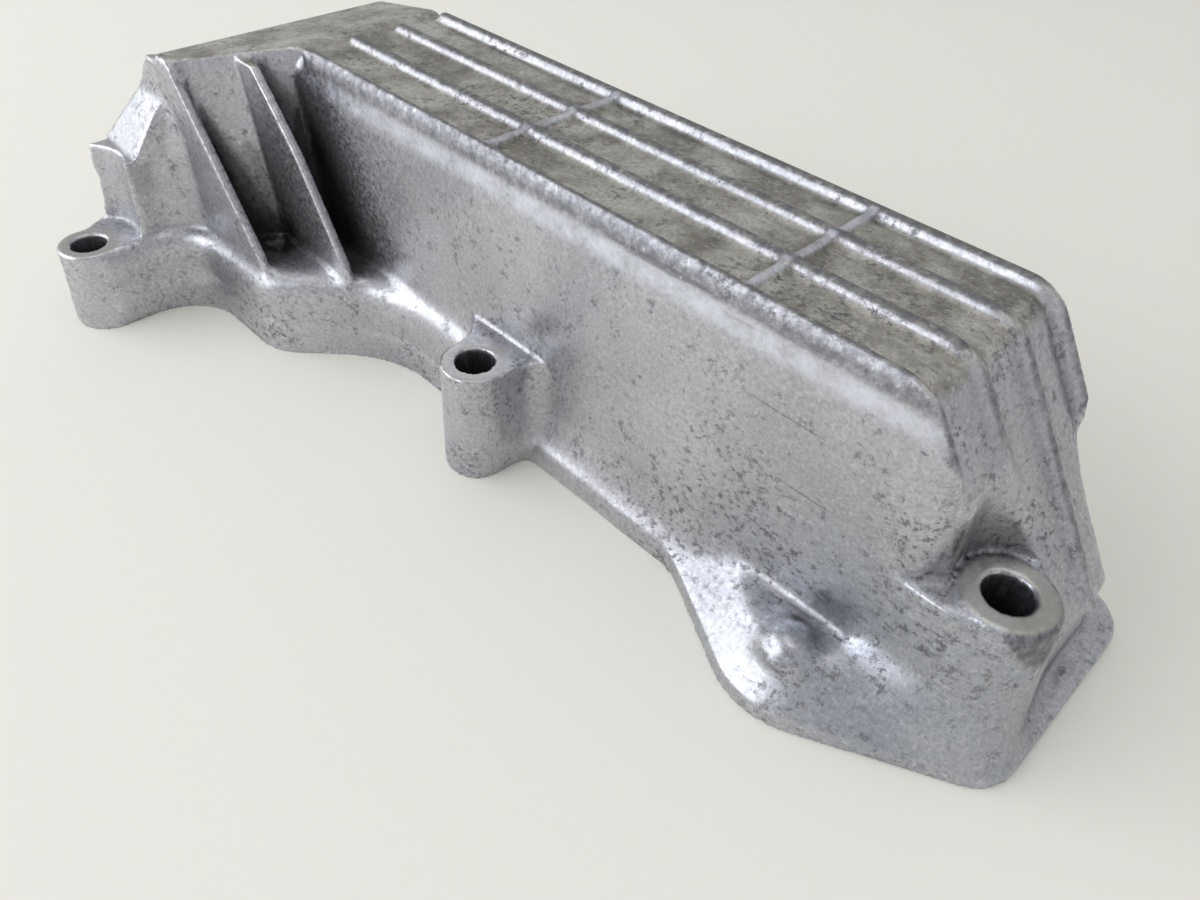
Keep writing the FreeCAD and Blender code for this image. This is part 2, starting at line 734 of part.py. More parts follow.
for label, centre, foot, top, bottom in RECESSES:
    cutters.append(column(label, centre, foot, top, BOX_TOP + " + cut_margin", bottom)[0])

# Hollow underside with one wall thickness all round
HOLLOW = [
    ("stem_right_x - wall_thickness", "front_wall_y + wall_thickness"),
    ("stem_right_x - wall_thickness", "back_wall_y - wall_thickness"),
    ("flange_left_x + flange_land", "back_wall_y - wall_thickness"),
    ("flange_left_x + flange_land", "left_corner_y + 1"),
    ("-bolt_pitch - 9.7", "left_bolt_y + left_recess_radius + 1.3"),
    ("boss_flank_x - flange_land", "left_bolt_y + left_recess_radius + 1.3"),
    ("boss_flank_x - flange_land", "head_front_y + flange_land"),
    ("scallop_left_x - 2", "head_front_y + flange_land"),
    ("scallop_right_x - 1.5", "front_wall_y + wall_thickness"),
]
HOLLOW_ROUNDINGS = [("hollow_rounding", [0, 1, 2, 3, 7])]
low_hollow, tip = prism("low_hollow", "XY_Plane", HOLLOW, "hollow_shoulder + 1", HOLLOW_ROUNDINGS, "-1")
HOLLOW_LOWER = [
    (wall_x("left", "box_foot", "wall_thickness"), "head_flank_y + wall_thickness"),
    ("head_corner_x + 1.5 * wall_thickness", "head_plane_y + wall_thickness"),
    ("head_right_x - 2", "head_plane_y + wall_thickness"),
    ("head_root_x - 1.6", wall_y("front", "box_foot", "wall_thickness")),
    (wall_x("end", "box_foot", "wall_thickness"), wall_y("front", "box_foot", "wall_thickness")),
    (wall_x("end", "box_foot", "wall_thickness"), wall_y("back", "box_foot", "wall_thickness")),
    (wall_x("left", "box_foot", "wall_thickness"), wall_y("back", "box_foot", "wall_thickness")),
]
HOLLOW_UPPER = [
    (wall_x("left", VAULT_FOOT, "wall_thickness"), "head_flank_top_y + wall_thickness"),
    (wall_x("left", VAULT_FOOT, "wall_thickness") + " + 2", "head_plane_top_y + wall_thickness"),
    ("head_right_top_x - 0.2", "head_plane_top_y + wall_thickness"),
    ("head_root_top_x - 1.6", wall_y("front", VAULT_FOOT, "wall_thickness")),
    (wall_x("end", VAULT_FOOT, "wall_thickness"), wall_y("front", VAULT_FOOT, "wall_thickness")),
    (wall_x("end", VAULT_FOOT, "wall_thickness"), wall_y("back", VAULT_FOOT, "wall_thickness")),
    (wall_x("left", VAULT_FOOT, "wall_thickness"), wall_y("back", VAULT_FOOT, "wall_thickness")),
]
high_hollow, tip = taper("high_hollow", HOLLOW_LOWER, HOLLOW_UPPER, "box_foot", VAULT_FOOT)
CEILING = [
    ("crease_x", CREASE_TOP + " - wall_thickness"),
    ("end_wall_x", CREASE_TOP + " - wall_thickness"),
    ("end_wall_x", BOX_TOP + " + cut_margin"),
    ("left_wall_x", BOX_TOP + " + cut_margin"),
    ("left_wall_x", CREASE_TOP + " - wall_thickness + plateau_slope * (left_wall_x - crease_x)"),
]
ceiling_sketch = outline(high_hollow, "ceiling_line", "XZ_Plane", CEILING)
pocket(high_hollow, "ceiling_cut", ceiling_sketch, "cut_length", middle=True)
END_CLEAR = [
    ("stem_right_x - wall_thickness", "box_foot - 1"),
    ("end_wall_x", "box_foot - 1"),
    ("end_wall_x", VAULT_FOOT),
    ("stem_right_x - wall_thickness", VAULT_FOOT),
]
clear_sketch = outline(high_hollow, "end_clear_line", "XZ_Plane", END_CLEAR)
pocket(high_hollow, "end_clear", clear_sketch, "cut_length", middle=True)


def vault_outline(height, inset):
    """Outline of the hollow under the ribbed panel at a height."""
    left = "crease_x + " + inset
    right = wall_x("end", height, "wall_thickness") + " - " + inset
    front = wall_y("front", height, "wall_thickness + " + inset)
    back = wall_y("back", height, "wall_thickness - " + inset)
    return [(left, front), (right, front), (right, back), (left, back)]


VAULT_TOP = "(panel_height - wall_thickness)"
vault_lower = vault_outline(VAULT_FOOT, "0")
vault_upper = vault_outline(VAULT_TOP, "vault_rise")
vault, tip = taper("vault_form", vault_lower, vault_upper, VAULT_FOOT, VAULT_TOP)
doc.recompute()
hollow = doc.addObject("Part::MultiFuse", "hollow_form")
hollow.Shapes = [low_hollow, high_hollow, vault]
KEPT_RIGHT = [
    ("recess_front_x - wall_thickness", "0"),
    ("flange_right_x + cut_margin", "0"),
    ("flange_right_x + cut_margin", "recess_side_y + wall_thickness"),
    ("bolt_pitch - 4", "recess_side_y + wall_thickness"),
    ("recess_tangent_x - 5", "recess_tangent_y + 8"),
    ("recess_front_x - wall_thickness", "recess_front_y + wall_thickness"),
]
KEPT_BACK = [
    ("bolt_pitch - recess_radius - wall_thickness", "back_right_bolt_y"),
    ("bolt_pitch - 4", "back_right_bolt_y - recess_radius - wall_thickness"),
    ("flange_right_x + cut_margin", "back_right_bolt_y - recess_radius - wall_thickness"),
    ("flange_right_x + cut_margin", "flange_bump_y + cut_margin"),
    ("bolt_pitch - recess_radius - wall_thickness", "flange_bump_y + cut_margin"),
]
kept = []
kept.append(prism("kept_right", "XY_Plane", KEPT_RIGHT, BOX_TOP, [], "shelf_height - wall_thickness")[0])
kept.append(prism("kept_back", "XY_Plane", KEPT_BACK, BOX_TOP, [], "-2")[0])
COLUMNS = [
    ("right_column", FRONT_RIGHT, "column_radius", "shelf_height"),
    ("back_right_column", BACK_RIGHT, "column_radius", "back_boss_height"),
    ("back_left_column", BACK_LEFT, "column_radius", "left_boss_height"),
]
for label, centre, radius, height in COLUMNS:
    kept.append(column(label, centre, radius, radius, height, "-2")[0])
MANTLES = [
    ("right_mantle", FRONT_RIGHT, "shelf_height - wall_thickness"),
    ("back_mantle", BACK_RIGHT, "-2"),
]
MANTLE_RADIUS = "recess_radius + wall_thickness"
for label, centre, bottom in MANTLES:
    kept.append(column(label, centre, MANTLE_RADIUS, MANTLE_RADIUS, BOX_TOP, bottom)[0])
core = doc.addObject("Part::Cut", "hollow_core")
core.Base = hollow
kept_all = doc.addObject("Part::MultiFuse", "kept_metal")
kept_all.Shapes = kept
core.Tool = kept_all
doc.recompute()

# Bolt holes
HOLE_RADIUS = "bolt_hole_diameter / 2"
HOLES = [FRONT_MIDDLE, FRONT_LEFT, FRONT_RIGHT, BACK_RIGHT, BACK_MIDDLE, BACK_LEFT]
for number, centre in enumerate(HOLES, start=1):
    cutters.append(column("bolt_hole_%d" % number, centre, HOLE_RADIUS, HOLE_RADIUS, BOX_TOP, "-5")[0])

cut_cover = doc.addObject("Part::Cut", "cut_cover")
cutter = doc.addObject("Part::MultiFuse", "cutters")
cutter.Shapes = cutters + [core]
cut_cover.Base = cover
cut_cover.Tool = cutter
doc.recompute()

# Machined ring on the right boss
ring = new_body("right_ring")
ring_foot = circle(ring, "ring_outline", FRONT_RIGHT, "ring_radius", "shelf_height - ring_step")
pad(ring, "ring_pad", ring_foot, "right_boss_height - shelf_height + ring_step")
bore = circle(ring, "ring_bore", FRONT_RIGHT, HOLE_RADIUS, BOX_TOP)
pocket(ring, "ring_hole", bore, BOX_TOP)
final = doc.addObject("Part::MultiFuse", "side_cover")
final.Shapes = [cut_cover, ring]
final.Label = "side_cover"
doc.recompute()

for obj in doc.Objects:
    if "Invalid" in obj.State or "Error" in obj.State:
        raise RuntimeError(obj.Name + " did not build")
os.makedirs("parts", exist_ok=True)
if final.Shape.isNull() or not final.Shape.isValid():
    raise RuntimeError(final.Label + " is not a valid shape")
final.Shape.exportStep("parts/%s.step" % final.Label)
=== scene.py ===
import math
import bpy
import numpy as np
from mathutils import Matrix, Vector
from mathutils.bvhtree import BVHTree


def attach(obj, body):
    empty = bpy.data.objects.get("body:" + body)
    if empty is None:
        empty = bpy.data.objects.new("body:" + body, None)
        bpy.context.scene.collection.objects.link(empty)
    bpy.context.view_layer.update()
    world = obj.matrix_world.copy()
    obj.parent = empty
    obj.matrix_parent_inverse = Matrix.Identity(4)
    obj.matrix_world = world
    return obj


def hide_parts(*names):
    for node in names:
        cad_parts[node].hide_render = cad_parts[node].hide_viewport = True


bl_info = {
    "name": "Cast side cover dressing",
    "version": (1, 0, 0),
    "blender": (4, 5, 0),
    "location": "3D View > Sidebar > Side cover",
    "description": "Softens a cast side cover, gives it worn aluminium and sets a studio round it",
    "category": "Object",
}

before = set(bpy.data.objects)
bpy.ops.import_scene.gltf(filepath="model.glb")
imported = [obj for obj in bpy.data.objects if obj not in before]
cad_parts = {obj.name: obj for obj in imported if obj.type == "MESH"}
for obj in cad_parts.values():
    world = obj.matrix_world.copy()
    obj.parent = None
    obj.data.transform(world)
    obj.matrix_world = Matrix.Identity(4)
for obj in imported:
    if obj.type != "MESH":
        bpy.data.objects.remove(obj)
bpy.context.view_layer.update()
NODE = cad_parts["side_cover"]


def deselect_all():
    """Leave nothing selected, so that the next operator acts on one object."""
    if bpy.context.object and bpy.context.object.mode != "OBJECT":
        bpy.ops.object.mode_set(mode="OBJECT")
    bpy.ops.object.select_all(action="DESELECT")


def make_active(obj):
    """Select one object alone and make it the active one."""
    deselect_all()
    obj.select_set(True)
    bpy.context.view_layer.objects.active = obj


def add_modifier(obj, kind, **values):
    """Add a modifier with these values and apply it."""
    modifier = obj.modifiers.new(kind.title(), kind)
    for name, value in values.items():
        setattr(modifier, name, value)
    make_active(obj)
    bpy.ops.object.modifier_apply(modifier=modifier.name)


class CastingSettings(bpy.types.PropertyGroup):
    """Sizes of the softened casting."""
    grain_size: bpy.props.FloatProperty(
        name="Grain size",
        description="Edge length of the resampled surface",
        default=0.00062, unit="LENGTH")
    merge_distance: bpy.props.FloatProperty(
        name="Merge distance",
        description="Points nearer than this are joined",
        default=0.00001, unit="LENGTH")
    soften_passes: bpy.props.IntProperty(
        name="Soften passes",
        description="How often the cast edges are eased",
        default=12)
    blend_passes: bpy.props.IntProperty(
        name="Blend passes",
        description="How often the flowing corners are eased",
        default=110)
    pass_strength: bpy.props.FloatProperty(
        name="Pass strength",
        description="How far one pass moves a point to its neighbours",
        default=0.5)
    triangle_limit: bpy.props.IntProperty(
        name="Triangle limit",
        description="Triangles kept on the finished casting",
        default=190000)
    shade_rays: bpy.props.IntProperty(
        name="Shade rays",
        description="Rays that measure how deep each point lies",
        default=12)
    shade_reach: bpy.props.FloatProperty(
        name="Shade reach",
        description="Length of the rays that find recesses",
        default=0.03, unit="LENGTH")
    shade_lift: bpy.props.FloatProperty(
        name="Shade lift",
        description="How far over the surface the rays start",
        default=0.0006, unit="LENGTH")
    # The bend at this radius counts in full: for the lighter convex edges, partly wear and partly painted
    # highlight, and for the painted shade in creases
    bend_radius: bpy.props.FloatProperty(
        name="Bend radius",
        description="Edge radius that counts as fully worn or dirty",
        default=1 / 450.0, unit="LENGTH")


class FinishSettings(bpy.types.PropertyGroup):
    """Colours of the cast aluminium."""
    metallic: bpy.props.FloatProperty(
        name="Metallic",
        description="How metallic the surface reflects",
        default=0.92)
    roughness: bpy.props.FloatProperty(
        name="Roughness",
        description="Mean roughness of the cast skin",
        default=0.34)
    light_metal: bpy.props.FloatVectorProperty(
        name="Light metal",
        description="Colour of the clean metal",
        default=(0.57, 0.575, 0.61), subtype="COLOR")
    dark_metal: bpy.props.FloatVectorProperty(
        name="Dark metal",
        description="Colour of the stained metal",
        default=(0.38, 0.38, 0.405), subtype="COLOR")
    cold_metal: bpy.props.FloatVectorProperty(
        name="Cold metal",
        description="Colour of the bluish patches",
        default=(0.40, 0.435, 0.495), subtype="COLOR")
    warm_metal: bpy.props.FloatVectorProperty(
        name="Warm metal",
        description="Colour of the aged top",
        default=(0.60, 0.58, 0.51), subtype="COLOR")
    brown_metal: bpy.props.FloatVectorProperty(
        name="Brown metal",
        description="Colour of the stains on the top",
        default=(0.25, 0.23, 0.18), subtype="COLOR")
    fleck_metal: bpy.props.FloatVectorProperty(
        name="Flecks",
        description="Colour of the dark flecks",
        default=(0.11, 0.11, 0.12), subtype="COLOR")
    # Painted glints and the lighter convex edges take this colour
    bright_metal: bpy.props.FloatVectorProperty(
        name="Bright metal",
        description="Colour of the worn glints",
        default=(0.90, 0.90, 0.93), subtype="COLOR")
    # Painted highlight: the bright band along the front shoulder and on the cross-rib crests
    highlight_metal: bpy.props.FloatVectorProperty(
        name="Polished metal",
        description="Colour of the rubbed shoulder and cross ribs",
        default=(0.76, 0.79, 0.90), subtype="COLOR")
    pitted_metal: bpy.props.FloatVectorProperty(
        name="Pitted metal",
        description="Colour of the pits on the crests",
        default=(0.16, 0.16, 0.175), subtype="COLOR")
    machined_metal: bpy.props.FloatVectorProperty(
        name="Machined metal",
        description="Colour of the boss faces",
        default=(0.46, 0.445, 0.395), subtype="COLOR")
    # Painted shade: the near-black colour laid into recesses and creases
    shade_colour: bpy.props.FloatVectorProperty(
        name="Grime",
        description="Colour of the dirt in recesses",
        default=(0.022, 0.021, 0.021), subtype="COLOR")
    grain_height: bpy.props.FloatProperty(
        name="Grain height",
        description="Height of the cast grain",
        default=0.00020, unit="LENGTH")


class StageSettings(bpy.types.PropertyGroup):
    """Floor, light and camera."""
    floor_size: bpy.props.FloatProperty(
        name="Floor size",
        description="Width of the floor",
        default=6.0, unit="LENGTH")
    floor_colour: bpy.props.FloatVectorProperty(
        name="Floor colour",
        description="Colour of the pale floor",
        default=(0.86, 0.84, 0.765), subtype="COLOR")
    floor_roughness: bpy.props.FloatProperty(
        name="Floor roughness",
        description="Roughness of the pale floor",
        default=0.7)
    room_colour: bpy.props.FloatVectorProperty(
        name="Room colour",
        description="Colour of the light from all sides",
        default=(0.97, 0.98, 1.0), subtype="COLOR")
    room_strength: bpy.props.FloatProperty(
        name="Room strength",
        description="Strength of the light from all sides",
        default=0.60)
    window_place: bpy.props.FloatVectorProperty(
        name="Window place",
        description="Middle of the window light",
        default=(-0.74, -0.92, 0.60), subtype="TRANSLATION")
    window_width: bpy.props.FloatProperty(
        name="Window width",
        description="Width of the window light",
        default=1.8, unit="LENGTH")
    window_height: bpy.props.FloatProperty(
        name="Window height",
        description="Height of the window light",
        default=1.15, unit="LENGTH")
    window_power: bpy.props.FloatProperty(
        name="Window power",
        description="Power of the window light in watts",
        default=14.5)
    window_colour: bpy.props.FloatVectorProperty(
        name="Window colour",
        description="Colour of the window light",
        default=(0.92, 0.95, 1.0), subtype="COLOR")
    ceiling_place: bpy.props.FloatVectorProperty(
        name="Ceiling place",
        description="Middle of the ceiling light",
        default=(0.10, 0.05, 1.10), subtype="TRANSLATION")
    ceiling_width: bpy.props.FloatProperty(
        name="Ceiling width",
        description="Side of the ceiling light",
        default=0.9, unit="LENGTH")
    ceiling_power: bpy.props.FloatProperty(
        name="Ceiling power",
        description="Power of the ceiling light in watts",
        default=1.5)
    ceiling_colour: bpy.props.FloatVectorProperty(
        name="Ceiling colour",
        description="Colour of the ceiling light",
        default=(1.0, 0.98, 0.95), subtype="COLOR")
    light_target: bpy.props.FloatVectorProperty(
        name="Light target",
        description="Where both lights look",
        default=(0.0, 0.02, 0.03), subtype="TRANSLATION")
    camera_place: bpy.props.FloatVectorProperty(
        name="Camera place",
        description="Where the camera stands",
        default=(0.1314, -0.0980, 0.1548), subtype="TRANSLATION")
    camera_lens: bpy.props.FloatProperty(
        name="Lens",
        description="Focal length on the sensor's width",
        default=27.75)
    camera_sensor: bpy.props.FloatProperty(
        name="Sensor",
        description="Width of the sensor in millimetres",
        default=36.0)
    camera_clip: bpy.props.FloatProperty(
        name="Clip start",
        description="Nothing nearer than this is drawn",
        default=0.005, unit="LENGTH")


# The camera's own axes: to the right, down and ahead
CAMERA_RIGHT = (0.7002, 0.7126, 0.0429)
CAMERA_DOWN = (0.5097, -0.4569, -0.7291)
CAMERA_AHEAD = (-0.4999, 0.5324, -0.6831)


def read_vectors(items, name):
    """Vectors of a mesh layer as an array with three columns."""
    values = np.empty(len(items) * 3, dtype=np.float32)
    items.foreach_get(name, values)
    return values.reshape(-1, 3).astype(np.float64)


def fade(values, low, high):
    """Smooth step from 0 at low to 1 at high."""
    share = np.clip((values - low) / (high - low), 0.0, 1.0)
    return share * share * (3 - 2 * share)


# Millimetres in a metre; the places below are in millimetres
MM = 1000

# Bolt axes with the height and the radius of each boss
BOSSES = [
    (0.0, 0.0, 28.6, 8.2),
    (-114.3, -39.0, 21.5, 8.2),
    (114.3, 21.6, 35.3, 8.8),
    (114.3, 59.3, 6.0, 8.2),
    (0.0, 64.0, 28.6, 8.2),
    (-114.3, 62.0, 21.5, 8.2),
]
FACE_INSET = 0.5
FACE_DEPTH = 0.8
EDGE_REACH = 1.2
EDGE_DEPTH = 1.6
HOLE_REACH = 5.4
HOLE_INSIDE = 4.8
HOLE_MOUTH = 1.5

# The ribbed panel and the sloping end wall
PANEL_HEIGHT = 69.0
END_WALL_X = 140.5
END_WALL_SLOPE = 0.69
END_WALL_SLANT = 1.215
PANEL_END_X = 90.0
CROSS_RIBS = (-12.2, 56.7)

# The rim's upper edge climbs from the right end to the left
RIM_RIGHT_X = 130
RIM_RIGHT_HEIGHT = 3.2
RIM_CLIMB = 7.8 / 276

# The gusset fins
FIRST_FIN_Y = -11.3
SECOND_FIN_Y = 2.4
FIN_REACH = 1.7
FIRST_FIN_END_X = -97.0
FIRST_FIN_TOP = 63.0
FIRST_FIN_LEAN = 0.35
FLOWING_FIN_FOOT = 26

# Spans over which a region fades in at each of its sides: none at the first value, full at the second.
# The heights of "rim" count from the rim's upper edge.
LOBE = {"x": [(50, 62)], "y": [(12.5, 9.5)], "rim": [(-0.6, 1.6)], "z": [(31, 23)]}
CORNER = {"x": [(98, 106)], "y": [(45, 33)], "rim": [(-1.2, 1.2)], "z": [(32.5, 29.5)]}
RECESS = {"x": [(86, 94)], "y": [(36, 32)], "z": [(36.3, 39), (60, 52)]}
LIMB = {"x": [(-92, -97)], "y": [(-10.8, -12.0)], "z": [(25, 29), (36, 33)]}
FLANK = {"x": [(-92, -100)], "y": [(8, 0)], "z": [(6.5, 9), (20, 18.5)]}
LEDGE = {"x": [(-8, -14), (-92, -84)], "y": [(14, 11)], "z": [(11, 13), (26, 22)]}
SHOULDER = {"x": [(-78, -70), (104, 98)], "y": [(13.4, 12.4), (9, 10)], "z": [(59.5, 63)]}
WEB = {"x": [(8, 12), (40, 30)], "y": [(12.5, 10.5)], "z": [(6, 9), (27.4, 26)]}
FLOWING = [
    (LOBE, 1.0),
    (CORNER, 1.0),
    (RECESS, 1.0),
    (LIMB, 0.3),
    (FLANK, 0.7),
    (LEDGE, 0.8),
    (WEB, 0.9),
    (SHOULDER, 1.0),
]
OUTLINE = {"x": [(5, 9), (38, 28)], "y": [(9, 5)], "z": [(12, 9)]}
# Band under the front rib crest that carries the painted highlight
SHOULDER_HIGHLIGHT = {"z": [(60.5, 63.5), (67.0, 65.0)]}
CREST_FLANK = {"z": [(66.0, 67.5)]}
CROSS_CREST = {"z": [(69.6, 70.0), (71.0, 70.7)]}
AGED_TOP = {"z": [(58, 64)]}

# Plain limits of a form along each axis
FAR = math.inf
RIBS = {"x": (-80, FAR), "y": (11, 57)}
CRESTS = {"x": (-79, FAR), "y": (10, 58)}
HORN = {"x": (-FAR, -104), "y": (-FAR, -8), "z": (34, FAR)}
FINS = {"x": (-104, -48), "z": (23.5, FAR)}
FRONT_SIDE = {"x": (-78, 103), "y": (-FAR, 13.0)}
CROSS_RIB_RUN = {"y": (14, 54)}
ABOVE_RIM = {"z": (4, FAR)}

# Rays that find recesses: how far they fan out, and what a far hit counts less
RAY_FAN = 0.85
FAR_LOSS = 0.5

# The bend of the surface is spread to the neighbours this often; no squared edge length counts as zero
BEND_PASSES = 3
SMALLEST_SQUARE = 1e-12

# How much of the easing each crisp form takes
RIB_SHARE = 0.4
FIN_SHARE = 0.5
HORN_SHARE = 0.35
BOSS_RIM_SHARE = 0.45
RIB_RELIEF = 0.7
MATING_LAYER = 0.9
KEPT_MARGIN = 0.6

# Where the masks of the material begin and are full
TOP_TILT = (0.55, 0.9)
FACE_TILT = (0.7, 0.95)
CREST_RELIEF = (0.9, 1.7)
CREST_FLANK_SHARE = 0.8
CROSS_RIB_REACH = 0.9
CROSS_RIB_SHARE = 0.9


def inside(places, spans):
    """Product of the fades at the sides of a region."""
    x, y, z = places.T
    rim = RIM_RIGHT_HEIGHT + (RIM_RIGHT_X - x) * RIM_CLIMB
    along = {"x": x, "y": y, "z": z, "rim": z - rim}
    share = np.ones(len(places))
    for axis, sides in spans.items():
        for none, full in sides:
            share *= fade(along[axis], none, full)
    return share


def within(places, limits):
    """Tell which points lie between plain limits."""
    along = dict(zip("xyz", places.T))
    found = np.ones(len(places), dtype=bool)
    for axis, (low, high) in limits.items():
        found &= (along[axis] > low) & (along[axis] < high)
    return found


def boss_faces(places, margin=0.0):
    """Tell which points lie on a machined boss face or in a bolt hole."""
    found = np.zeros(len(places), dtype=bool)
    for x, y, height, radius in BOSSES:
        away = np.hypot(places[:, 0] - x, places[:, 1] - y)
        level = np.abs(places[:, 2] - height)
        found |= (away < radius - FACE_INSET + margin) & (level < FACE_DEPTH + margin)
        found |= (away < HOLE_REACH) & (places[:, 2] < height + 1)
    return found


def boss_rims(places):
    """Tell which points lie round the edge of a boss face."""
    found = np.zeros(len(places), dtype=bool)
    for x, y, height, radius in BOSSES:
        away = np.hypot(places[:, 0] - x, places[:, 1] - y)
        found |= (away < radius + EDGE_REACH) & (np.abs(places[:, 2] - height) < EDGE_DEPTH)
    return found


def in_holes(places):
    """Tell which points lie in a bolt hole below its mouth."""
    found = np.zeros(len(places), dtype=bool)
    for x, y, height, _ in BOSSES:
        away = np.hypot(places[:, 0] - x, places[:, 1] - y)
        found |= (away < HOLE_INSIDE) & (places[:, 2] < height - HOLE_MOUTH)
    return found


def rib_height_over_panel(places):
    """How far each point stands above the ribbed panel or before the end wall."""
    above = places[:, 2] - PANEL_HEIGHT
    before = (places[:, 0] + END_WALL_SLOPE * places[:, 2] - END_WALL_X) / END_WALL_SLANT
    return np.where(places[:, 0] < PANEL_END_X, above, np.maximum(above, before))


def on_fins(places):
    """Tell which points belong to the two thin gusset fins."""
    x, y, z = places.T
    first_end = FIRST_FIN_END_X + (FIRST_FIN_TOP - z) * FIRST_FIN_LEAN
    first = (np.abs(y - FIRST_FIN_Y) < FIN_REACH) & (x > first_end)
    second = np.abs(y - SECOND_FIN_Y) < FIN_REACH
    return (first | second) & within(places, FINS)


def cast_weight(places):
    """Machined faces and thin crests stay crisp, the rest is eased."""
    weight = np.ones(len(places))
    weight[(rib_height_over_panel(places) > RIB_RELIEF) & within(places, RIBS)] = RIB_SHARE
    weight[on_fins(places)] = FIN_SHARE
    weight[within(places, HORN)] = HORN_SHARE
    weight[boss_rims(places)] = BOSS_RIM_SHARE
    weight[boss_faces(places)] = 0.0
    weight[places[:, 2] < MATING_LAYER] = 0.0
    return weight


def flow_weight(places):
    """The lobe, the recess, the limb, the shoulder and the feet flow into each other."""
    weight = np.maximum.reduce([share * inside(places, region) for region, share in FLOWING])
    weight[boss_rims(places)] = 0.0
    weight[boss_faces(places, KEPT_MARGIN)] = 0.0
    weight[on_fins(places) & (places[:, 2] > FLOWING_FIN_FOOT)] = 0.0
    return weight


def outline_weight(places):
    """Beside the front boss the flange runs out in one easy curve."""
    return inside(places, OUTLINE)


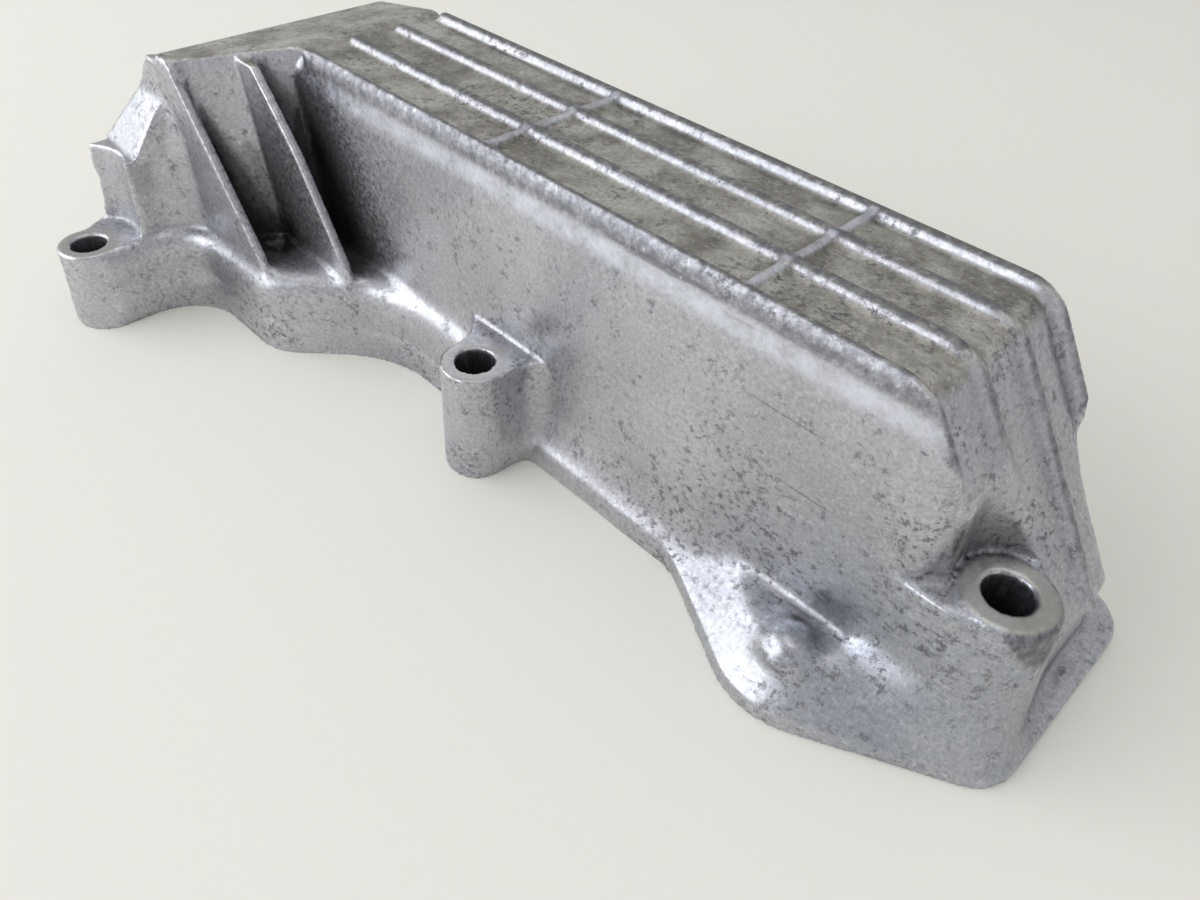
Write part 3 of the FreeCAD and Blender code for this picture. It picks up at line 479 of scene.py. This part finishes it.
class SIDECOVER_OT_casting(bpy.types.Operator):
    """Make the casting with eased edges from the solid's own surface"""
    bl_idname = "sidecover.casting"
    bl_label = "Casting"

    def execute(self, context):
        settings = context.scene.side_cover_casting
        deselect_all()
        casting = NODE.copy()
        casting.data = NODE.data.copy()
        casting.name = "casting"
        casting.parent = None
        casting.matrix_world = Matrix.Identity(4)
        context.scene.collection.objects.link(casting)
        casting.hide_render = False
        make_active(casting)
        bpy.ops.object.mode_set(mode="EDIT")
        bpy.ops.mesh.select_all(action="SELECT")
        bpy.ops.mesh.remove_doubles(threshold=settings.merge_distance)
        bpy.ops.object.mode_set(mode="OBJECT")
        add_modifier(casting, "REMESH", mode="VOXEL", voxel_size=settings.grain_size, use_smooth_shade=True)
        self.weigh(casting, "cast", cast_weight)
        self.weigh(casting, "flow", flow_weight)
        self.weigh(casting, "outline", outline_weight)
        self.ease(casting, "cast", settings.soften_passes)
        self.ease(casting, "flow", settings.blend_passes)
        self.ease(casting, "outline", settings.blend_passes, use_z=False)
        count = sum(len(face.vertices) - 2 for face in casting.data.polygons)
        if count > settings.triangle_limit:
            add_modifier(casting, "DECIMATE", ratio=settings.triangle_limit / count)
        make_active(casting)
        bpy.ops.object.shade_smooth()
        casting.vertex_groups.clear()
        self.measure_masks(casting, settings)
        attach(casting, "root")
        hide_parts("side_cover")
        return {"FINISHED"}

    def ease(self, casting, name, passes, **axes):
        """Draw the weighted points towards their neighbours."""
        strength = bpy.context.scene.side_cover_casting.pass_strength
        add_modifier(casting, "SMOOTH", factor=strength, iterations=passes, vertex_group=name, **axes)

    def measure_masks(self, casting, settings):
        """Write what the material needs to know about each point into attributes."""
        mesh = casting.data
        places = read_vectors(mesh.vertices, "co")
        normals = read_vectors(mesh.vertices, "normal")
        points = places * MM
        # Share of rays that meet the casting again, full in the bolt holes: the mask of the painted shade
        # in recesses
        depth = self.depth_of_recess(casting, places, normals, settings)
        depth[in_holes(points)] = 1.0
        tilt = normals[:, 2]
        top = fade(tilt, *TOP_TILT) * inside(points, AGED_TOP)
        front = within(points, FRONT_SIDE)
        crest = fade(rib_height_over_panel(points), *CREST_RELIEF) * within(points, CRESTS)
        crest = np.maximum(crest, CREST_FLANK_SHARE * front * inside(points, CREST_FLANK))
        from_cross_rib = np.min([np.abs(points[:, 0] - rib) for rib in CROSS_RIBS], axis=0)
        cross_ribs = (from_cross_rib < CROSS_RIB_REACH) & within(points, CROSS_RIB_RUN)
        # Painted highlight band along the front shoulder, and on the cross-rib crests
        highlight_band = front * inside(points, SHOULDER_HIGHLIGHT)
        highlight_band = np.maximum(highlight_band, CROSS_RIB_SHARE * cross_ribs * inside(points, CROSS_CREST))
        machined = boss_faces(points) * fade(tilt, *FACE_TILT) * within(points, ABOVE_RIM)
        bend = self.bend_of_surface(mesh, places, normals) * settings.bend_radius
        masks = {
            "recess": depth,
            "aged_top": top,
            "crest": crest,
            "machined": machined,
            "highlight_band": highlight_band,
            # Convex edges: lighter, partly wear and partly painted highlight
            "edge_wear_and_highlight": np.clip(bend, 0.0, 1.0),
            # Concave creases: painted shade
            "crease_shade": np.clip(-bend, 0.0, 1.0),
        }
        for name, values in masks.items():
            layer = mesh.attributes.new(name, "FLOAT", "POINT")
            layer.data.foreach_set("value", values.astype(np.float32))

    def bend_of_surface(self, mesh, places, normals):
        """How sharply the surface bends at each point, above 0 on an edge and below 0 in a crease."""
        ends = np.empty(len(mesh.edges) * 2, dtype=np.int32)
        mesh.edges.foreach_get("vertices", ends)
        first, second = ends.reshape(-1, 2).T
        count = np.bincount(ends, minlength=len(places)).astype(np.float64)
        step = places[second] - places[first]
        length = np.maximum((step * step).sum(axis=1), SMALLEST_SQUARE)
        from_first = -(step * normals[first]).sum(axis=1) / length
        from_second = (step * normals[second]).sum(axis=1) / length
        bend = np.bincount(first, from_first, len(places)) + np.bincount(second, from_second, len(places))
        bend /= np.maximum(count, 1)
        for _ in range(BEND_PASSES):
            around = np.bincount(first, bend[second], len(places))
            around += np.bincount(second, bend[first], len(places))
            bend = 0.5 * bend + 0.5 * around / np.maximum(count, 1)
        return bend

    def depth_of_recess(self, casting, places, normals, settings):
        """Share of the rays over each point that meet the casting again."""
        tree = BVHTree.FromObject(casting, bpy.context.evaluated_depsgraph_get())
        count = settings.shade_rays
        golden = math.pi * (3 - math.sqrt(5))
        rays = []
        for number in range(count):
            up = 1 - (number + 0.5) / count * RAY_FAN
            flat = math.sqrt(1 - up * up)
            rays.append((flat * math.cos(golden * number), flat * math.sin(golden * number), up))
        reach = settings.shade_reach
        found = np.zeros(len(places))
        for index, (place, normal) in enumerate(zip(places, normals)):
            centre = Vector(place)
            axis = Vector(normal)
            turn = axis.to_track_quat("Z", "Y")
            start = centre + axis * settings.shade_lift
            for ray in rays:
                hit, _, _, distance = tree.ray_cast(start, turn @ Vector(ray), reach)
                if hit is not None:
                    found[index] += 1 - FAR_LOSS * distance / reach
        return found / count

    def weigh(self, casting, name, rule):
        """Weigh every point by how far the rule lets it be eased."""
        group = casting.vertex_groups.new(name=name)
        places = read_vectors(casting.data.vertices, "co") * MM
        weights = np.round(rule(places), 2)
        for weight in np.unique(weights):
            if weight > 0:
                chosen = np.nonzero(weights == weight)[0].tolist()
                group.add(chosen, float(weight), "REPLACE")


# Noise patterns of the metal: scale, detail, roughness, and the values where a pattern begins and is full
PATTERNS = {
    "clouds": (26.0, 5.0, 0.6, 0.36, 0.66),
    "cold": (13.0, 2.0, 0.55, 0.48, 0.64),
    "mottle": (75.0, 7.0, 0.72, 0.40, 0.60),
    "pepper": (1250.0, 3.0, 0.65, 0.40, 0.66),
    "speckle": (620.0, 5.0, 0.72, 0.535, 0.60),
    "patches": (32.0, 5.0, 0.66, 0.46, 0.58),
    "strands": (240.0, 6.0, 0.78, 0.575, 0.63),
    "glints": (900.0, 3.0, 0.6, 0.57, 0.66),
    "pits": (480.0, 5.0, 0.7, 0.36, 0.58),
    "blotches": (190.0, 6.0, 0.72, 0.40, 0.62),
    "scratches": (90.0, 2.0, 0.5, 0.70, 0.74),
}
# Turn and scale that draw the scratches out into lines
SCRATCH_STRETCH = ((0.3, 0.6, 0.5), (0.25, 6.0, 6.0))

# How strongly each layer covers the colour below it
COVER = {
    "clouds": 0.7,
    "cold": 0.55,
    "aged_top": 0.9,
    "pepper": 0.30,
    "strands": 0.8,
    "flecks": 0.72,
    "scratches": 0.5,
    "crest_glints": 0.45,
    "edge_wear_and_highlight": 0.2,
    "crest": 0.4,
    "pits": 0.9,
    "blotches": 0.7,
    "highlight_band": 0.8,
    "machined": 0.7,
    "crease_shade": 0.65,
}
# Painted glints: their share on crests and on all other places
CREST_SHINE = 0.9
PLAIN_GLINTS = 0.20
# Where the recess mask becomes painted shade, and the noise that breaks the painted shade into clouds
SHADE_SPAN = (0.33, 0.62)
CLOUDY_SHADE = (70.0, 5.0, 0.65)
CLOUDY_SPAN = (0.3, 0.7, 0.70, 1.0)

# The roughness swings this far about its mean, and the layers raise or lower it
ROUGH_NOISE = (800.0, 4.0, 0.6)
ROUGH_NOISE_SPAN = (0.3, 0.7)
ROUGH_SWING = 0.13
ROUGHER_FLECKS = 0.2
ROUGHER_IN_SHADE = 0.35
ROUGHER_TOP = 0.10
SMOOTHER_EDGE = 0.10
ROUGHER_CREST = 0.12

# Fine and coarse grain of the cast skin
FINE_GRAIN = (700.0, 5.0, 0.65)
COARSE_GRAIN = (150.0, 3.0)
COARSE_SHARE = 0.8
GRAIN_SHARE = 0.5
GRAIN_STRENGTH = 0.55


class Wiring:
    """Short names for building one node tree."""

    def __init__(self, tree):
        self.tree = tree
        self.place = tree.nodes.new("ShaderNodeTexCoord").outputs["Object"]

    def join(self, value, socket):
        """Link an output to a socket, or set the socket to a plain value."""
        if hasattr(value, "is_output"):
            self.tree.links.new(value, socket)
        elif socket.type == "RGBA" and len(value) == 3:
            socket.default_value = (*value, 1.0)
        else:
            socket.default_value = value

    def noise(self, scale, detail=4.0, roughness=0.55, stretch=None):
        """Noise fixed to the object, drawn out by a turn and a scale where wanted."""
        node = self.tree.nodes.new("ShaderNodeTexNoise")
        node.inputs["Scale"].default_value = scale
        node.inputs["Detail"].default_value = detail
        node.inputs["Roughness"].default_value = roughness
        place = self.place
        if stretch:
            mapping = self.tree.nodes.new("ShaderNodeMapping")
            mapping.inputs["Rotation"].default_value = stretch[0]
            mapping.inputs["Scale"].default_value = stretch[1]
            self.join(self.place, mapping.inputs["Vector"])
            place = mapping.outputs["Vector"]
        self.join(place, node.inputs["Vector"])
        return node.outputs["Fac"]

    def span(self, source, low, high, first=0.0, last=1.0):
        """Lead the values from low to high over to those from first to last."""
        node = self.tree.nodes.new("ShaderNodeMapRange")
        node.inputs["From Min"].default_value = low
        node.inputs["From Max"].default_value = high
        node.inputs["To Min"].default_value = first
        node.inputs["To Max"].default_value = last
        self.join(source, node.inputs["Value"])
        return node.outputs["Result"]

    def pattern(self, name, stretch=None):
        """Noise pattern of the table, between 0 and 1."""
        scale, detail, roughness, low, high = PATTERNS[name]
        return self.span(self.noise(scale, detail, roughness, stretch), low, high)

    def math(self, operation, first, second):
        """Sum, product or the like, held between 0 and 1."""
        node = self.tree.nodes.new("ShaderNodeMath")
        node.operation = operation
        node.use_clamp = True
        self.join(first, node.inputs[0])
        self.join(second, node.inputs[1])
        return node.outputs["Value"]

    def times(self, first, second):
        return self.math("MULTIPLY", first, second)

    def mix(self, factor, first, second):
        """Colour that goes from the first to the second."""
        node = self.tree.nodes.new("ShaderNodeMix")
        node.data_type = "RGBA"
        self.join(factor, node.inputs[0])
        self.join(first, node.inputs[6])
        self.join(second, node.inputs[7])
        return node.outputs[2]

    def attribute(self, name):
        """Mask that the casting carries under this name."""
        node = self.tree.nodes.new("ShaderNodeAttribute")
        node.attribute_name = name
        return node.outputs["Fac"]


def cast_material(settings):
    """Worn die-cast aluminium with stains, flecks and a browned top, with painted shade in its recesses and
    creases and painted glints and highlights.
    """
    material = bpy.data.materials.new("cast_aluminium")
    material.use_nodes = True
    tree = material.node_tree
    tree.nodes.clear()
    output = tree.nodes.new("ShaderNodeOutputMaterial")
    metal = tree.nodes.new("ShaderNodeBsdfPrincipled")
    tree.links.new(metal.outputs["BSDF"], output.inputs["Surface"])
    metal.inputs["Metallic"].default_value = settings.metallic
    wiring = Wiring(tree)
    times = wiring.times
    recess = wiring.attribute("recess")
    aged_top = wiring.attribute("aged_top")
    crest = wiring.attribute("crest")
    machined = wiring.attribute("machined")
    highlight_band = wiring.attribute("highlight_band")
    edge_wear_and_highlight = wiring.attribute("edge_wear_and_highlight")
    crease_shade = wiring.attribute("crease_shade")

    # Stains of the bare metal and the browned top
    clouds = wiring.pattern("clouds")
    colour = wiring.mix(times(clouds, COVER["clouds"]), settings.light_metal, settings.dark_metal)
    cold = wiring.pattern("cold")
    colour = wiring.mix(times(cold, COVER["cold"]), colour, settings.cold_metal)
    old = wiring.mix(wiring.pattern("mottle"), settings.warm_metal, settings.brown_metal)
    colour = wiring.mix(times(aged_top, COVER["aged_top"]), colour, old)
    pepper = wiring.pattern("pepper")
    colour = wiring.mix(times(pepper, COVER["pepper"]), colour, settings.fleck_metal)

    # Dark flecks and scratches
    plain = wiring.math("SUBTRACT", 1.0, machined)
    flecks = times(wiring.pattern("speckle"), times(wiring.pattern("patches"), plain))
    strands = times(wiring.pattern("strands"), times(plain, COVER["strands"]))
    flecks = wiring.math("MAXIMUM", flecks, strands)
    colour = wiring.mix(times(flecks, COVER["flecks"]), colour, settings.fleck_metal)
    scratches = wiring.pattern("scratches", SCRATCH_STRETCH)
    colour = wiring.mix(times(scratches, COVER["scratches"]), colour, settings.fleck_metal)

    # Painted glints, lighter edges that are partly wear and partly painted highlight, the painted highlight
    # band, the pits on the crests and the boss faces
    # Painted glints: bright specks, strongest on crests and convex edges and faint everywhere else
    shine = wiring.math("MAXIMUM", times(crest, CREST_SHINE), edge_wear_and_highlight)
    shine = wiring.math("ADD", times(shine, COVER["crest_glints"]), PLAIN_GLINTS)
    colour = wiring.mix(times(wiring.pattern("glints"), shine), colour, settings.bright_metal)
    # Convex edges lighter: partly wear, partly painted highlight
    colour = wiring.mix(times(edge_wear_and_highlight, COVER["edge_wear_and_highlight"]), colour, settings.bright_metal)
    colour = wiring.mix(times(crest, COVER["crest"]), colour, settings.pitted_metal)
    pits = times(wiring.pattern("pits"), times(crest, COVER["pits"]))
    colour = wiring.mix(pits, colour, settings.pitted_metal)
    # Painted highlight along the front shoulder and the cross-rib crests, broken by blotches
    clear = wiring.math("SUBTRACT", 1.0, times(wiring.pattern("blotches"), COVER["blotches"]))
    band = times(highlight_band, clear)
    colour = wiring.mix(times(band, COVER["highlight_band"]), colour, settings.highlight_metal)
    colour = wiring.mix(times(machined, COVER["machined"]), colour, settings.machined_metal)

    # Painted shade in recesses, by the share of rays that meet the casting again, and in concave creases
    cloudy = wiring.span(wiring.noise(*CLOUDY_SHADE), *CLOUDY_SPAN)
    painted_shade = times(wiring.span(recess, *SHADE_SPAN), cloudy)
    # Concave creases take the same painted shade
    painted_shade = wiring.math("MAXIMUM", painted_shade, times(crease_shade, COVER["crease_shade"]))
    colour = wiring.mix(painted_shade, colour, settings.shade_colour)
    wiring.join(colour, metal.inputs["Base Color"])

    smoothest = settings.roughness - ROUGH_SWING
    roughest = settings.roughness + ROUGH_SWING
    rough = wiring.span(wiring.noise(*ROUGH_NOISE), *ROUGH_NOISE_SPAN, smoothest, roughest)
    rough = wiring.math("ADD", rough, times(flecks, ROUGHER_FLECKS))
    rough = wiring.math("ADD", rough, times(painted_shade, ROUGHER_IN_SHADE))
    rough = wiring.math("ADD", rough, times(aged_top, ROUGHER_TOP))
    rough = wiring.math("SUBTRACT", rough, times(edge_wear_and_highlight, SMOOTHER_EDGE))
    rough = wiring.math("ADD", rough, times(crest, ROUGHER_CREST))
    wiring.join(rough, metal.inputs["Roughness"])

    bump = tree.nodes.new("ShaderNodeBump")
    bump.inputs["Strength"].default_value = GRAIN_STRENGTH
    bump.inputs["Distance"].default_value = settings.grain_height
    coarse = times(wiring.noise(*COARSE_GRAIN), COARSE_SHARE)
    grain = wiring.math("ADD", wiring.noise(*FINE_GRAIN), coarse)
    wiring.join(times(grain, GRAIN_SHARE), bump.inputs["Height"])
    wiring.join(bump.outputs["Normal"], metal.inputs["Normal"])
    return material


class SIDECOVER_OT_finish(bpy.types.Operator):
    """Give the casting its worn aluminium"""
    bl_idname = "sidecover.finish"
    bl_label = "Cast aluminium finish"

    def execute(self, context):
        material = cast_material(context.scene.side_cover_finish)
        casting = bpy.data.objects["casting"]
        casting.data.materials.clear()
        casting.data.materials.append(material)
        return {"FINISHED"}


class SIDECOVER_OT_stage(bpy.types.Operator):
    """Set the pale floor, the soft lights and the camera"""
    bl_idname = "sidecover.stage"
    bl_label = "Studio"

    def execute(self, context):
        settings = context.scene.side_cover_stage
        deselect_all()
        bpy.ops.mesh.primitive_plane_add(size=settings.floor_size, location=(0, 0, 0))
        floor = context.object
        floor.name = "studio_floor"
        paper = bpy.data.materials.new("pale_paper")
        paper.use_nodes = True
        shader = paper.node_tree.nodes["Principled BSDF"]
        shader.inputs["Base Color"].default_value = (*settings.floor_colour, 1.0)
        shader.inputs["Roughness"].default_value = settings.floor_roughness
        floor.data.materials.append(paper)

        world = bpy.data.worlds.new("soft_room")
        world.use_nodes = True
        background = world.node_tree.nodes["Background"]
        background.inputs["Color"].default_value = (*settings.room_colour, 1.0)
        background.inputs["Strength"].default_value = settings.room_strength
        context.scene.world = world

        window = self.soft_light("window_light", settings.window_place, settings.light_target)
        window.size = settings.window_width
        window.size_y = settings.window_height
        window.energy = settings.window_power
        window.color = settings.window_colour
        ceiling = self.soft_light("ceiling_light", settings.ceiling_place, settings.light_target)
        ceiling.size = settings.ceiling_width
        ceiling.size_y = settings.ceiling_width
        ceiling.energy = settings.ceiling_power
        ceiling.color = settings.ceiling_colour
        context.scene.view_settings.view_transform = "Standard"

        camera_data = bpy.data.cameras.new("photo_camera")
        camera_data.lens = settings.camera_lens
        camera_data.sensor_width = settings.camera_sensor
        camera_data.clip_start = settings.camera_clip
        camera = bpy.data.objects.new("photo_camera", camera_data)
        turn = Matrix((Vector(CAMERA_RIGHT), -Vector(CAMERA_DOWN), -Vector(CAMERA_AHEAD))).transposed()
        camera.matrix_world = Matrix.Translation(settings.camera_place) @ turn.to_4x4()
        context.scene.collection.objects.link(camera)
        context.scene.camera = camera
        return {"FINISHED"}

    def soft_light(self, name, place, target):
        """Oblong lamp that looks at the target."""
        lamp = bpy.data.lights.new(name, "AREA")
        lamp.shape = "RECTANGLE"
        holder = bpy.data.objects.new(name, lamp)
        holder.location = place
        aim = Vector(target) - Vector(place)
        holder.rotation_euler = aim.to_track_quat("-Z", "Y").to_euler()
        bpy.context.scene.collection.objects.link(holder)
        return lamp


class SIDECOVER_PT_panel(bpy.types.Panel):
    """Sidebar panel that lists the steps"""
    bl_idname = "SIDECOVER_PT_panel"
    bl_label = "Side cover"
    bl_space_type = "VIEW_3D"
    bl_region_type = "UI"
    bl_category = "Side cover"

    def draw(self, context):
        scene = context.scene
        for group in (scene.side_cover_casting, scene.side_cover_finish, scene.side_cover_stage):
            for name in group.__annotations__:
                self.layout.prop(group, name)
        for step in STEPS:
            self.layout.operator(step.bl_idname)


STEPS = (SIDECOVER_OT_casting, SIDECOVER_OT_finish, SIDECOVER_OT_stage)
CLASSES = (CastingSettings, FinishSettings, StageSettings) + STEPS + (SIDECOVER_PT_panel,)


def register():
    for item in CLASSES:
        bpy.utils.register_class(item)
    bpy.types.Scene.side_cover_casting = bpy.props.PointerProperty(type=CastingSettings)
    bpy.types.Scene.side_cover_finish = bpy.props.PointerProperty(type=FinishSettings)
    bpy.types.Scene.side_cover_stage = bpy.props.PointerProperty(type=StageSettings)


def unregister():
    del bpy.types.Scene.side_cover_stage
    del bpy.types.Scene.side_cover_finish
    del bpy.types.Scene.side_cover_casting
    for item in reversed(CLASSES):
        bpy.utils.unregister_class(item)


def main():
    register()
    bpy.ops.sidecover.casting()
    bpy.ops.sidecover.finish()
    bpy.ops.sidecover.stage()


if __name__ == "__main__":
    main()
